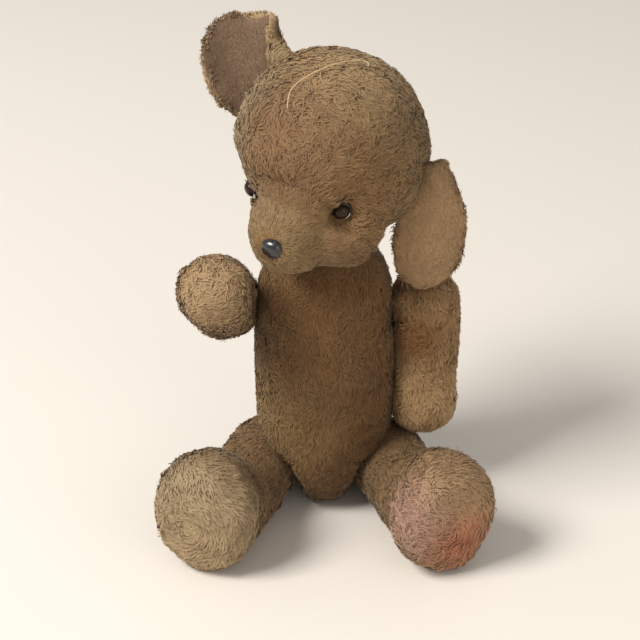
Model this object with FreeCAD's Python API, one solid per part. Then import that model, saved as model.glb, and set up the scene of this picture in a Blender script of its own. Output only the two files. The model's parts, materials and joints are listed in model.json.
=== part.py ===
"""Seated plush dog with disc-jointed neck, arms and legs and two soft hinged ears.

Millimetres. +Z is up, the dog's chest faces -Y and its own left side is +X. The origin is the
middle of the flat seat under the torso. Every cover is a closed cloth skin cut into its sewn
panels, and every disc joint is a cotter pin through two card discs.
"""

import FreeCAD
import Part
import math
import os
from FreeCAD import Placement, Rotation, Vector

# ---- Driving dimensions: the soft bodies -------------------------------------------------------
TORSO_HEIGHT = 240.0        # seat to neck
TORSO_RADIUS = 56.0
SEAT_RADIUS = 22.0          # flat patch that the dog sits on
NECK_RADIUS = 27.0          # flat patch under the head
NECK_X = 4.0                # the neck sits a little left of and in front of the torso's axis
NECK_Y = -4.0
HEAD_RADIUS = 75.5
HEAD_TURN = -30.0           # degrees about +Z, towards the dog's right
MUZZLE_RADIUS = 34.0
MUZZLE_LENGTH = 21.5        # head's surface to the tip of the muzzle
MUZZLE_DROP = 34.0          # degrees below level
ARM_LENGTH = 115.0          # shoulder pivot to paw tip
ARM_RADIUS = 27.0
ARM_FLAT_SHARE = 0.87       # pivot to the arm's inner flat, in arm radii
PAW_DIP = 1.5               # how far the hanging paw reaches below the thigh's crest, beside it
ARM_LEFT_SWING = 0.0        # degrees from hanging, forwards and up
ARM_RIGHT_SWING = 124.0
LEG_LENGTH = 136.0          # hip pivot to sole
LEG_RADIUS = 31.0
LEG_SPLAY = 21.0            # degrees outwards from straight ahead
HIP_FACET = 12.0            # torso axis to the flat that the leg turns on
FOOT_HALF_HEIGHT = 50.0
FOOT_HALF_WIDTH = 35.0
FOOT_HALF_DEPTH = 36.0
FOOT_SOLE_DISTANCE = 27.0   # middle of the foot to its flat sole
EAR_LENGTH = 99.0
EAR_WIDTH = 60.0
EAR_ROOT = 22.0
RAISED_EAR_ROOT = 44.0
EAR_FOLD = 32.0             # the part of the raised ear's tip that is turned over

# ---- Cloth, hardware and clearances ------------------------------------------------------------
CLOTH = 2.5                 # woven backing with its pressed pile
EAR_PLY = 3.0
STUFFING_GAP = 0.1
JOINT_GAP = 0.6             # between two bodies at a joint
LEG_LIFT = 0.5              # the legs' underside above the seat
ARM_BOSS_RADIUS = 17.0      # round pad that the pin pulls in at a shoulder
ARM_BOSS_DEPTH = 4.0
LEG_BOSS_RADIUS = 20.0
LEG_BOSS_DEPTH = 2.0
ARM_DISC_RADIUS = 14.0
LEG_DISC_RADIUS = 17.0
NECK_DISC_RADIUS = 21.0
DISC_THICKNESS = 2.0
WASHER_RADIUS = 7.0
WASHER_THICKNESS = 1.0
PIN_RADIUS = 1.5
PIN_HEAD_RADIUS = 4.0
PIN_HEAD_LENGTH = 4.0
RUNNING_CLEARANCE = 0.05
AXIAL_PLAY = 0.1
EYE_RADIUS = 5.8
EYE_DOME = 5.4
EYE_FELT_RADIUS = 8.0
EYE_FELT_THICKNESS = 1.0
EYE_SOCKET_RADIUS = 9.0
EYE_SINK = 9.5              # head's surface to the bottom of the socket
EYE_OUT = 36.0              # direction of an eye from the head centre
EYE_FORWARD = 48.0
EYE_BELOW = 20.0
NOSE_RADIUS = 9.3
NOSE_DOME = 7.5
NOSE_SINK = 2.5             # tip of the muzzle to the nose's base
NOSE_RAISE = 12.0           # above the muzzle axis
SHANK_RADIUS = 1.5
SHANK_LENGTH = 9.0
NOSE_SHANK_LENGTH = 8.0
BUTTON_BULGE = 1.03         # widest part of an eye or nose, in radii of its base
SHANK_WASHER_RADIUS = 6.0
GUSSET_HALF_WIDTH = 24.0    # strip from the brow over the crown to the nape
SOLE_DEPTH = 14.0
EAR_SPHERE_GAP = 0.8

X_AXIS = Vector(1, 0, 0)
Z_AXIS = Vector(0, 0, 1)
ORIGIN = Vector(0, 0, 0)
BIG = 600.0

# ---- Places worked out from the driving dimensions ---------------------------------------------
HEAD_FLAT = math.sqrt(HEAD_RADIUS ** 2 - NECK_RADIUS ** 2)
HEAD_CENTRE = Vector(NECK_X, NECK_Y, TORSO_HEIGHT + JOINT_GAP + HEAD_FLAT)
ARM_FLAT_X = TORSO_RADIUS + JOINT_GAP
ARM_FLAT = ARM_FLAT_SHARE * ARM_RADIUS
ARM_AXIS_X = ARM_FLAT_X + ARM_FLAT
HIP_Z = LEG_RADIUS + LEG_LIFT
ARM_PIVOT_HEIGHT = HIP_Z + LEG_RADIUS - PAW_DIP + ARM_LENGTH
MUZZLE_REACH = HEAD_RADIUS + MUZZLE_LENGTH
NOSE_SEAT = MUZZLE_REACH - NOSE_SINK
EYE_DISTANCE = HEAD_RADIUS - EYE_SINK
HIP_OFFSET = HIP_FACET + JOINT_GAP + LEG_BOSS_DEPTH + LEG_RADIUS
SPLAY = math.radians(LEG_SPLAY)
HIP_OUT = Vector(math.cos(SPLAY), math.sin(SPLAY), 0)
LEG_AHEAD = Vector(math.sin(SPLAY), -math.cos(SPLAY), 0)
HIP = Vector(HIP_OFFSET / math.cos(SPLAY), 0, HIP_Z)
HIP_PLACE = Placement(HIP, Rotation(HIP_OUT, Z_AXIS, LEG_AHEAD, "ZXY"))


# ---- Shape helpers -----------------------------------------------------------------------------
def turned(profile):
    """A solid of revolution about Z through (radius, height) points, with flat ends."""
    points = [Vector(radius, 0, height) for radius, height in profile]
    side = Part.BSplineCurve()
    side.interpolate(points)
    low = Vector(0, 0, points[0].z)
    high = Vector(0, 0, points[-1].z)
    edges = [Part.makeLine(low, points[0]), side.toShape(), Part.makeLine(points[-1], high),
             Part.makeLine(high, low)]
    return Part.Face(Part.Wire(edges)).revolve(ORIGIN, Z_AXIS, 360)


def rod(start, direction, radius, length):
    return Part.makeCylinder(radius, length, start, direction)


def half_space(point, normal):
    """A very large box on the side of a plane that its normal points to."""
    box = Part.makeBox(2 * BIG, 2 * BIG, BIG, Vector(-BIG, -BIG, 0))
    return box.transformed(Placement(point, Rotation(Z_AXIS, normal)).toMatrix())


def hollow(outer, inner):
    """The skin between two nested solids."""
    lining = inner.Shells[0].copy()
    lining.reverse()
    return Part.makeSolid(Part.makeCompound([outer.Shells[0], lining]))


def placed(shape, placement):
    return shape.transformed(placement.toMatrix())


def mirrored(shape):
    return shape.mirror(ORIGIN, X_AXIS)


def group(shapes):
    return Part.makeCompound([solid for shape in shapes for solid in shape.Solids])


def save(name, shape):
    solid = shape.Solids[0] if len(shape.Solids) == 1 else shape
    solid.exportStep(os.path.join("parts", name + ".step"))


# ---- Disc joints -------------------------------------------------------------------------------
def joint_stations():
    """Distances from the moving body's flat, positive into the moving body."""
    disc = CLOTH
    washer = disc + DISC_THICKNESS
    head = washer + WASHER_THICKNESS
    fixed_disc = -(JOINT_GAP + CLOTH + DISC_THICKNESS)
    fixed_washer = fixed_disc - WASHER_THICKNESS
    return disc, washer, head, fixed_disc, fixed_washer


def drilled_disc(flat, direction, station, radius, thickness):
    start = flat + direction * station
    bore = rod(start - direction, direction, PIN_RADIUS + RUNNING_CLEARANCE, thickness + 2)
    return rod(start, direction, radius, thickness).cut(bore)


def joint_pin(flat, direction):
    """Cotter pin: an eye in the moving body, a shaft, and its ends curled under the far washer."""
    _, _, head, _, fixed_washer = joint_stations()
    end = fixed_washer - AXIAL_PLAY
    shaft = rod(flat + direction * end, direction, PIN_RADIUS, head - end)
    eye = rod(flat + direction * head, direction, PIN_HEAD_RADIUS, PIN_HEAD_LENGTH)
    curl = rod(flat + direction * (end - PIN_HEAD_LENGTH), direction, PIN_HEAD_RADIUS, PIN_HEAD_LENGTH)
    return shaft.fuse([eye, curl]).removeSplitter()


def joint_bore(flat, direction):
    """The running hole through both cloths and both discs."""
    _, _, head, _, fixed_washer = joint_stations()
    start = flat + direction * fixed_washer
    return rod(start, direction, PIN_RADIUS + RUNNING_CLEARANCE, head - fixed_washer)


def joint_room(flat, direction, disc_radius):
    """The space that a joint's hardware takes up in the stuffing on both sides."""
    disc, _, head, fixed_disc, fixed_washer = joint_stations()
    ease = STUFFING_GAP
    moving = rod(flat, direction, disc_radius + ease, disc + DISC_THICKNESS + ease)
    fixed = rod(flat + direction * (fixed_disc - ease), direction, disc_radius + ease,
                CLOTH + JOINT_GAP + DISC_THICKNESS + ease)
    washers = rod(flat + direction * (fixed_washer - ease), direction, WASHER_RADIUS + ease,
                  head - fixed_washer + 2 * ease)
    far_end = fixed_washer - AXIAL_PLAY - PIN_HEAD_LENGTH - ease
    pin = rod(flat + direction * far_end, direction, PIN_HEAD_RADIUS + ease,
              head + PIN_HEAD_LENGTH + ease - far_end)
    return moving.fuse([fixed, washers, pin])


# ---- Torso -------------------------------------------------------------------------------------
TORSO_SHAPE = [(0.64, 0.04), (0.84, 0.11), (0.97, 0.25), (1.0, 0.42), (1.0, 0.60),
               (0.97, 0.76), (0.85, 0.88), (0.64, 0.96)]
SHOULDER = Vector(ARM_FLAT_X - ARM_BOSS_DEPTH, 0, ARM_PIVOT_HEIGHT)
HIP_FLAT = HIP - HIP_OUT * (HIP_OFFSET - HIP_FACET - JOINT_GAP)
NECK_FLAT = Vector(NECK_X, NECK_Y, TORSO_HEIGHT + JOINT_GAP)


def leg_way(inset):
    """The room that the left thigh needs ahead of its hip, straight ahead and below."""
    reach = LEG_RADIUS + JOINT_GAP + inset
    along = rod(HIP, LEG_AHEAD, reach, 2 * TORSO_RADIUS)
    below = Part.makeBox(2 * TORSO_RADIUS, HIP_Z + TORSO_RADIUS, 2 * TORSO_RADIUS,
                         Vector(-reach, -HIP_Z - TORSO_RADIUS, 0))
    return along.fuse(placed(below, HIP_PLACE))


def torso_solid(inset):
    span = TORSO_HEIGHT - 2 * inset
    profile = [(SEAT_RADIUS - inset, inset)]
    profile += [(share * TORSO_RADIUS - inset, inset + level * span) for share, level in TORSO_SHAPE]
    profile += [(NECK_RADIUS + NECK_X - inset, TORSO_HEIGHT - inset)]
    body = turned(profile)
    shoulder_start = SHOULDER - X_AXIS * (JOINT_GAP + inset)
    shoulder = rod(shoulder_start, X_AXIS, ARM_BOSS_RADIUS + JOINT_GAP + inset, TORSO_RADIUS)
    hip_start = HIP_FLAT - HIP_OUT * (JOINT_GAP + inset)
    hip = rod(hip_start, HIP_OUT, LEG_RADIUS + 2 * JOINT_GAP + inset, TORSO_RADIUS)
    way = leg_way(inset)
    return body.cut([shoulder, mirrored(shoulder), hip, mirrored(hip), way, mirrored(way)])


def side_joints():
    """Flat centre, direction into the limb and disc radius of the left shoulder and hip."""
    return {"arm": (SHOULDER, X_AXIS, ARM_DISC_RADIUS), "leg": (HIP_FLAT, HIP_OUT, LEG_DISC_RADIUS)}


def build_torso():
    _, _, _, fixed_disc, fixed_washer = joint_stations()
    skin = hollow(torso_solid(0), torso_solid(CLOTH))
    stuffing = torso_solid(CLOTH + STUFFING_GAP)
    bores = [joint_bore(NECK_FLAT, Z_AXIS)]
    rooms = [joint_room(NECK_FLAT, Z_AXIS, NECK_DISC_RADIUS)]
    washers = [drilled_disc(NECK_FLAT, Z_AXIS, fixed_washer, WASHER_RADIUS, WASHER_THICKNESS)]
    for limb, (flat, direction, radius) in side_joints().items():
        bore = joint_bore(flat, direction)
        room = joint_room(flat, direction, radius)
        disc = drilled_disc(flat, direction, fixed_disc, radius, DISC_THICKNESS)
        washer = drilled_disc(flat, direction, fixed_washer, WASHER_RADIUS, WASHER_THICKNESS)
        bores += [bore, mirrored(bore)]
        rooms += [room, mirrored(room)]
        washers += [washer, mirrored(washer)]
        save(limb + "_disc_torso_left", disc)
        save(limb + "_disc_torso_right", mirrored(disc))
    save("neck_disc_torso",
         drilled_disc(NECK_FLAT, Z_AXIS, fixed_disc, NECK_DISC_RADIUS, DISC_THICKNESS))
    save("torso_joint_washers", group(washers))
    save("torso_stuffing", stuffing.cut(rooms))
    skin = skin.cut(bores)
    left = half_space(ORIGIN, X_AXIS)
    right = half_space(ORIGIN, -X_AXIS)
    front = half_space(ORIGIN, Vector(0, -1, 0))
    back = half_space(ORIGIN, Vector(0, 1, 0))
    for face, face_side in (("front", front), ("back", back)):
        for hand, hand_side in (("left", left), ("right", right)):
            save("torso_%s_%s" % (face, hand), skin.common(face_side).common(hand_side))


# ---- Arms --------------------------------------------------------------------------------------
ARM_SHAPE = [(0.24, -0.98), (0.66, -0.82), (0.94, -0.38)]
PAW_SHAPE = [(1.0, 0.05), (0.96, 0.32), (0.92, 0.52), (1.0, 0.72), (1.02, 0.84), (0.84, 0.94),
             (0.56, 0.985), (0.22, 1.0)]


def arm_solid(inset):
    """A left arm hanging along -Z from its pivot at the origin, its outer side towards +X."""
    profile = [(share * ARM_RADIUS - inset, level * (ARM_RADIUS - inset)) for share, level in ARM_SHAPE]
    profile += [(share * ARM_RADIUS - inset, level * (ARM_LENGTH - inset)) for share, level in PAW_SHAPE]
    limb = turned(profile)
    limb = placed(limb, Placement(ORIGIN, Rotation(X_AXIS, 180)))
    limb = limb.common(half_space(Vector(inset - ARM_FLAT, 0, 0), X_AXIS))
    boss_start = Vector(inset - ARM_FLAT - ARM_BOSS_DEPTH, 0, 0)
    boss = rod(boss_start, X_AXIS, ARM_BOSS_RADIUS - inset, ARM_FLAT + ARM_BOSS_DEPTH)
    return limb.fuse(boss).removeSplitter()


def build_arm(side, swing):
    disc, washer, _, _, _ = joint_stations()
    flat = Vector(-ARM_FLAT - ARM_BOSS_DEPTH, 0, 0)
    skin = hollow(arm_solid(0), arm_solid(CLOTH)).cut(joint_bore(flat, X_AXIS))
    pieces = {
        "outer": skin.common(half_space(ORIGIN, X_AXIS)),
        "inner": skin.common(half_space(ORIGIN, -X_AXIS)),
        "stuffing": arm_solid(CLOTH + STUFFING_GAP).cut(joint_room(flat, X_AXIS, ARM_DISC_RADIUS)),
        "disc": drilled_disc(flat, X_AXIS, disc, ARM_DISC_RADIUS, DISC_THICKNESS),
        "washer": drilled_disc(flat, X_AXIS, washer, WASHER_RADIUS, WASHER_THICKNESS),
        "pin": joint_pin(flat, X_AXIS),
    }
    pivot = Placement(Vector(ARM_AXIS_X, 0, ARM_PIVOT_HEIGHT), Rotation(X_AXIS, -swing))
    for piece, shape in pieces.items():
        shape = placed(shape, pivot)
        save("arm_%s_%s" % (side, piece), shape if side == "left" else mirrored(shape))


# ---- Legs --------------------------------------------------------------------------------------
THIGH_SHAPE = [(0.20, -0.97), (0.55, -0.86), (0.85, -0.56), (1.0, 0.0), (1.0, 1.0), (1.0, 2.0),
               (0.97, 3.2)]


def ellipsoid(half_width, half_height, half_depth, centre):
    ball = Part.makeSphere(1.0)
    stretch = FreeCAD.Matrix()
    stretch.scale(half_width, half_height, half_depth)
    stretch.move(centre)
    return ball.transformGeometry(stretch)


def leg_solid(inset):
    """A left leg along +Z from its hip at the origin, up towards +Y, outer side towards +X."""
    radius = LEG_RADIUS - inset
    thigh = turned([(share * LEG_RADIUS - inset, level * radius) for share, level in THIGH_SHAPE])
    foot_centre = Vector(0, FOOT_HALF_HEIGHT - LEG_RADIUS, LEG_LENGTH - FOOT_SOLE_DISTANCE)
    foot = ellipsoid(FOOT_HALF_WIDTH - inset, FOOT_HALF_HEIGHT - inset, FOOT_HALF_DEPTH - inset,
                     foot_centre)
    foot = foot.common(half_space(Vector(0, 0, LEG_LENGTH - inset), -Z_AXIS))
    boss_reach = LEG_RADIUS + LEG_BOSS_DEPTH - inset
    boss = rod(Vector(-boss_reach, 0, 0), X_AXIS, LEG_BOSS_RADIUS - inset, boss_reach)
    return thigh.fuse([foot, boss]).removeSplitter()


def build_leg(side):
    disc, washer, _, _, _ = joint_stations()
    flat = Vector(-LEG_RADIUS - LEG_BOSS_DEPTH, 0, 0)
    skin = hollow(leg_solid(0), leg_solid(CLOTH)).cut(joint_bore(flat, X_AXIS))
    sole_plane = Vector(0, 0, LEG_LENGTH - SOLE_DEPTH)
    upper = skin.common(half_space(sole_plane, -Z_AXIS))
    pieces = {
        "outer": upper.common(half_space(ORIGIN, X_AXIS)),
        "inner": upper.common(half_space(ORIGIN, -X_AXIS)),
        "sole": skin.common(half_space(sole_plane, Z_AXIS)),
        "stuffing": leg_solid(CLOTH + STUFFING_GAP).cut(joint_room(flat, X_AXIS, LEG_DISC_RADIUS)),
        "disc": drilled_disc(flat, X_AXIS, disc, LEG_DISC_RADIUS, DISC_THICKNESS),
        "washer": drilled_disc(flat, X_AXIS, washer, WASHER_RADIUS, WASHER_THICKNESS),
        "pin": joint_pin(flat, X_AXIS),
    }
    for piece, shape in pieces.items():
        shape = placed(shape, HIP_PLACE)
        save("leg_%s_%s" % (side, piece), shape if side == "left" else mirrored(shape))


# ---- Head --------------------------------------------------------------------------------------
HEAD_PLACE = Placement(HEAD_CENTRE, Rotation(Z_AXIS, HEAD_TURN))
DROP = math.radians(MUZZLE_DROP)
MUZZLE_AXIS = Vector(0, -math.cos(DROP), -math.sin(DROP))
MUZZLE_UP = Vector(0, -math.sin(DROP), math.cos(DROP))
MUZZLE_PLACE = Placement(ORIGIN, Rotation(X_AXIS, MUZZLE_UP, MUZZLE_AXIS, "ZXY"))
MUZZLE_SHAPE = [(1.0, 0.42), (1.0, 0.68), (0.95, 0.82), (0.76, 0.925), (0.46, 0.98), (0.16, 1.0)]


def eye_direction(side):
    return Vector(side * EYE_OUT, -EYE_FORWARD, -EYE_BELOW).normalize()


def eye_stack(direction, station, radius, thickness, bore):
    start = direction * station
    disc = rod(start, direction, radius, thickness)
    return disc.cut(rod(start - direction, direction, bore, thickness + 2))


def eye_sockets(inset):
    return [rod(eye_direction(side) * (EYE_DISTANCE - inset), eye_direction(side),
                EYE_SOCKET_RADIUS + inset, HEAD_RADIUS) for side in (1, -1)]


def head_ball(inset):
    ball = Part.makeSphere(HEAD_RADIUS - inset)
    return ball.common(half_space(Vector(0, 0, inset - HEAD_FLAT), Z_AXIS))


def head_solid(inset):
    return head_ball(inset).cut(eye_sockets(inset))


def muzzle_solid(inset):
    profile = [(share * MUZZLE_RADIUS - inset, level * (MUZZLE_REACH - inset))
               for share, level in MUZZLE_SHAPE]
    return placed(turned(profile), MUZZLE_PLACE)


def domed_button(radius, dome, shank_radius, shank_length):
    """A moulded eye or nose: a dome above its base at the origin, and a shank below it."""
    profile = [(radius, 0), (BUTTON_BULGE * radius, 0.3 * dome), (0.84 * radius, 0.68 * dome),
               (0.45 * radius, 0.94 * dome), (0.1 * radius, dome)]
    shank = rod(Vector(0, 0, -shank_length), Z_AXIS, shank_radius, shank_length)
    return turned(profile).fuse(shank).removeSplitter()


def build_head():
    disc, washer, _, _, _ = joint_stations()
    neck_flat = Vector(0, 0, -HEAD_FLAT)
    shank_bore = SHANK_RADIUS + RUNNING_CLEARANCE
    washer_station = EYE_DISTANCE - CLOTH - WASHER_THICKNESS
    nose_base = MUZZLE_AXIS * NOSE_SEAT + MUZZLE_UP * NOSE_RAISE
    nose_shank = rod(nose_base - MUZZLE_AXIS * SHANK_LENGTH, MUZZLE_AXIS, shank_bore, 2 * SHANK_LENGTH)
    nose_place = Placement(nose_base, MUZZLE_PLACE.Rotation)
    nose_washer_gap = 2 * CLOTH + WASHER_THICKNESS
    nose_washer = rod(nose_base - MUZZLE_AXIS * nose_washer_gap, MUZZLE_AXIS, SHANK_WASHER_RADIUS,
                      WASHER_THICKNESS).cut(nose_shank)
    nose_room = rod(nose_base - MUZZLE_AXIS * (SHANK_LENGTH + STUFFING_GAP), MUZZLE_AXIS,
                    SHANK_WASHER_RADIUS + STUFFING_GAP, SHANK_LENGTH)
    nose_seat = rod(nose_base, MUZZLE_AXIS, NOSE_RADIUS * BUTTON_BULGE + JOINT_GAP, MUZZLE_REACH)

    skin = hollow(head_solid(0), head_solid(CLOTH)).cut(joint_bore(neck_flat, Z_AXIS))
    skin = skin.cut(muzzle_solid(CLOTH))
    rooms = [joint_room(neck_flat, Z_AXIS, NECK_DISC_RADIUS)]
    pieces = {}
    eye_washers = []
    for side, name in ((1, "left"), (-1, "right")):
        look = eye_direction(side)
        eye_place = Placement(look * (EYE_DISTANCE + EYE_FELT_THICKNESS), Rotation(Z_AXIS, look))
        button = domed_button(EYE_RADIUS, EYE_DOME, SHANK_RADIUS, SHANK_LENGTH)
        pieces["eye_" + name] = placed(button, eye_place)
        pieces["eye_felt_" + name] = eye_stack(look, EYE_DISTANCE, EYE_FELT_RADIUS,
                                               EYE_FELT_THICKNESS, shank_bore)
        eye_washers.append(eye_stack(look, washer_station, SHANK_WASHER_RADIUS,
                                     WASHER_THICKNESS, shank_bore))
        skin = skin.cut(rod(look * washer_station, look, shank_bore, EYE_DISTANCE))
        rooms.append(rod(look * (EYE_DISTANCE - SHANK_LENGTH), look,
                         SHANK_WASHER_RADIUS + STUFFING_GAP, SHANK_LENGTH))
    pieces["eye_washers"] = group(eye_washers)
    pieces["head_gusset"] = skin.common(half_space(Vector(-GUSSET_HALF_WIDTH, 0, 0), X_AXIS)) \
        .common(half_space(Vector(GUSSET_HALF_WIDTH, 0, 0), -X_AXIS))
    pieces["head_side_left"] = skin.common(half_space(Vector(GUSSET_HALF_WIDTH, 0, 0), X_AXIS))
    pieces["head_side_right"] = skin.common(half_space(Vector(-GUSSET_HALF_WIDTH, 0, 0), -X_AXIS))
    snout = muzzle_solid(0).cut([muzzle_solid(CLOTH), head_ball(0), nose_seat, nose_shank])
    snout = snout.cut(eye_sockets(0))
    pieces["muzzle_top"] = snout.common(half_space(ORIGIN, MUZZLE_UP))
    pieces["muzzle_chin"] = snout.common(half_space(ORIGIN, -MUZZLE_UP))
    pieces["head_stuffing"] = head_solid(CLOTH + STUFFING_GAP).cut(rooms)
    pieces["muzzle_stuffing"] = muzzle_solid(CLOTH + STUFFING_GAP) \
        .cut([head_ball(CLOTH), nose_room]).cut(eye_sockets(CLOTH + STUFFING_GAP))
    pieces["nose"] = placed(domed_button(NOSE_RADIUS, NOSE_DOME, SHANK_RADIUS, NOSE_SHANK_LENGTH),
                            nose_place)
    pieces["nose_washer"] = nose_washer
    pieces["neck_disc_head"] = drilled_disc(neck_flat, Z_AXIS, disc, NECK_DISC_RADIUS, DISC_THICKNESS)
    pieces["neck_washer_head"] = drilled_disc(neck_flat, Z_AXIS, washer, WASHER_RADIUS, WASHER_THICKNESS)
    pieces["neck_pin"] = joint_pin(neck_flat, Z_AXIS)
    for name, shape in pieces.items():
        save(name, placed(shape, HEAD_PLACE))


# ---- Ears --------------------------------------------------------------------------------------
EAR_LEFT_PLACE = Vector(80, -16, -6)         # direction of the root from the head's centre
EAR_LEFT_STAND = 6.3                          # root out from the head's surface
EAR_LEFT_ALONG = Vector(-0.03, -0.02, -1)
EAR_LEFT_FACE = Vector(0.12, -1, 0)
EAR_LEFT_HINGE = Vector(-1, 0, 0)
EAR_LEFT_SWINGS = (0, 15, 30, 45, 60)         # degrees about the hinge
EAR_RIGHT_PLACE = Vector(-47, 20, 24)
EAR_RIGHT_STAND = -19.1
EAR_RIGHT_ALONG = Vector(-0.34, 0.47, 0.81)
EAR_RIGHT_FACE = Vector(0, -0.866, 0.5)
EAR_RIGHT_HINGE = Vector(0.87, 0.25, 0.43)
EAR_RIGHT_SWINGS = (-40, -30, -20, -10, 0, 10)


def ear_outline(length, width, root):
    """A leaf that starts at a narrow root on the X axis and runs along Z."""
    points = [Vector(-root / 2, 0, 0), Vector(-0.46 * width, 0, 0.35 * length),
              Vector(-0.5 * width, 0, 0.62 * length), Vector(-0.34 * width, 0, 0.88 * length),
              Vector(0, 0, length), Vector(0.34 * width, 0, 0.88 * length),
              Vector(0.5 * width, 0, 0.62 * length), Vector(0.46 * width, 0, 0.35 * length),
              Vector(root / 2, 0, 0)]
    edge = Part.BSplineCurve()
    edge.interpolate(points)
    return Part.Face(Part.Wire([edge.toShape(), Part.makeLine(points[-1], points[0])]))


def head_ways(root, hinge, swings):
    """The head's ball as an ear meets it at each of its swings."""
    ways = []
    for angle in swings:
        turn = Placement(ORIGIN, Rotation(hinge, -angle), root)
        ways.append(Part.makeSphere(HEAD_RADIUS + EAR_SPHERE_GAP, turn.multVec(HEAD_CENTRE)))
    return ways


def build_ear(side, place, stand, along, face, hinge, swings, fold, root_width):
    """Two plies, the lining on the side that the ear faces. The tip beyond the fold is left off."""
    root = HEAD_CENTRE + place.normalize() * (HEAD_RADIUS + stand)
    frame = Placement(root, Rotation(ORIGIN, -face, along, "ZYX"))
    leaf = ear_outline(EAR_LENGTH, EAR_WIDTH, root_width)
    visible = half_space(Vector(0, 0, EAR_LENGTH - fold), -Z_AXIS)
    for piece, ply in (("lining", -EAR_PLY), ("plush", EAR_PLY)):
        sheet = placed(leaf.extrude(Vector(0, ply, 0)).common(visible), frame)
        save("ear_%s_%s" % (side, piece), sheet.cut(head_ways(root, hinge, swings)))


def main():
    os.makedirs("parts", exist_ok=True)
    build_torso()
    build_arm("left", ARM_LEFT_SWING)
    build_arm("right", ARM_RIGHT_SWING)
    build_leg("left")
    build_leg("right")
    build_head()
    build_ear("left", EAR_LEFT_PLACE, EAR_LEFT_STAND, EAR_LEFT_ALONG, EAR_LEFT_FACE, EAR_LEFT_HINGE,
              EAR_LEFT_SWINGS, 0, EAR_ROOT)
    build_ear("right", EAR_RIGHT_PLACE, EAR_RIGHT_STAND, EAR_RIGHT_ALONG, EAR_RIGHT_FACE,
              EAR_RIGHT_HINGE, EAR_RIGHT_SWINGS, EAR_FOLD, RAISED_EAR_ROOT)


main()
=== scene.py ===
import json
import math

import bmesh
import bpy
import numpy as np
from bpy.props import FloatProperty, FloatVectorProperty, IntProperty, PointerProperty
from mathutils import Matrix, Vector
from mathutils.bvhtree import BVHTree


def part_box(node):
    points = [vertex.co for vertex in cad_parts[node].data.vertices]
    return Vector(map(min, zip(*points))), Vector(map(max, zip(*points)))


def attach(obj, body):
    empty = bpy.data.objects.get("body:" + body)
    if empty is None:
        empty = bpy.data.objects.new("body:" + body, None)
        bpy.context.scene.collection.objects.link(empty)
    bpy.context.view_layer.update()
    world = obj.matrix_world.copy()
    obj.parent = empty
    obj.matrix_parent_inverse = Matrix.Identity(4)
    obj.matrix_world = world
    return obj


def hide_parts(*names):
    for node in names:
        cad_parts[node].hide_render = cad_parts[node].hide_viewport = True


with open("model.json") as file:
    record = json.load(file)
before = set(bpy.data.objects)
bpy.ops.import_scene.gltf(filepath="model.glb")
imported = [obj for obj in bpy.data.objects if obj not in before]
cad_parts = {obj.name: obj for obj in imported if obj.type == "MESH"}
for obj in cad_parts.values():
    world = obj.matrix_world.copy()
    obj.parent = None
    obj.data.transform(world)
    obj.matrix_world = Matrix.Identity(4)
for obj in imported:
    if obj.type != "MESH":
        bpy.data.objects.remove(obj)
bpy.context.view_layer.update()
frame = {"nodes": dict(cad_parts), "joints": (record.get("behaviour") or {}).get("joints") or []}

bl_info = {
    "name": "Jointed plush dog",
    "version": (1, 0, 0),
    "blender": (4, 5, 0),
    "location": "View3D > Sidebar > Plush",
    "description": "Sews, stuffs and piles a seated plush dog on its jointed frame",
    "category": "Add Mesh",
}

MM = 0.001
UP = Vector((0, 0, 1))


# ---- Places on the frame ----
def middle(node):
    low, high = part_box(node)
    return (low + high) / 2


def joint_place(name):
    joint = next(j for j in frame["joints"] if j["name"] == name)
    return Vector(joint["pos_m"]), Vector(joint["axis"]).normalized()


def head_frame():
    """Head centre with +X to the dog's left, -Y ahead of its nose and +Z up."""
    low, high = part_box("head_stuffing")
    radius = (high.x - low.x) / 2
    centre = Vector(((low.x + high.x) / 2, (low.y + high.y) / 2, high.z - radius))
    ahead = middle("nose") - centre
    ahead.z = 0
    ahead.normalize()
    left = UP.cross(ahead)
    turn = Matrix((left, -ahead, UP)).transposed().to_4x4()
    return Matrix.Translation(centre) @ turn, radius


HEAD, HEAD_RADIUS = head_frame()
HEAD_CENTRE = HEAD.translation
HEAD_TURN = HEAD.to_3x3().to_4x4()
HEAD_LEFT = HEAD.to_3x3() @ Vector((1, 0, 0))
NOSE = middle("nose")
TOWARD_NOSE = (NOSE - HEAD_CENTRE).normalized()
EYES = {"left": middle("eye_left"), "right": middle("eye_right")}
TORSO_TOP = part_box("torso_front_left")[1].z
TORSO_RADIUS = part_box("torso_front_left")[1].x
HIPS = {side: joint_place("leg_%s_swing" % side)[0] for side in ("left", "right")}
SHOULDERS = {side: joint_place("arm_%s_swing" % side)[0] for side in ("left", "right")}
SIDES = {"left": 1, "right": -1}


def leg_ahead(side):
    direction = middle("leg_%s_sole" % side) - HIPS[side]
    direction.z = 0
    return direction.normalized()


def arm_along(side):
    direction = middle("arm_%s_stuffing" % side) - SHOULDERS[side]
    direction.x = 0
    return direction.normalized()


# ---- Settings ----
class PileSettings(bpy.types.PropertyGroup):
    length: FloatProperty(name="Pile length", description="Length of a lock on the body",
                          default=7.5 * MM, unit="LENGTH")
    width: FloatProperty(name="Lock width", description="Width of a matted lock",
                         default=0.95 * MM, unit="LENGTH")
    rows: FloatProperty(name="Locks per square centimetre", description="How close the locks stand",
                        default=100.0)
    tuft: FloatProperty(name="Tuft size", description="Width of a patch that leans one way",
                        default=5.0 * MM, unit="LENGTH")
    swirl: FloatProperty(name="Swirl", description="How far the nap wanders from its lie", default=0.9)
    seed: IntProperty(name="Seed", description="Changes where each lock stands", default=11)


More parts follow.
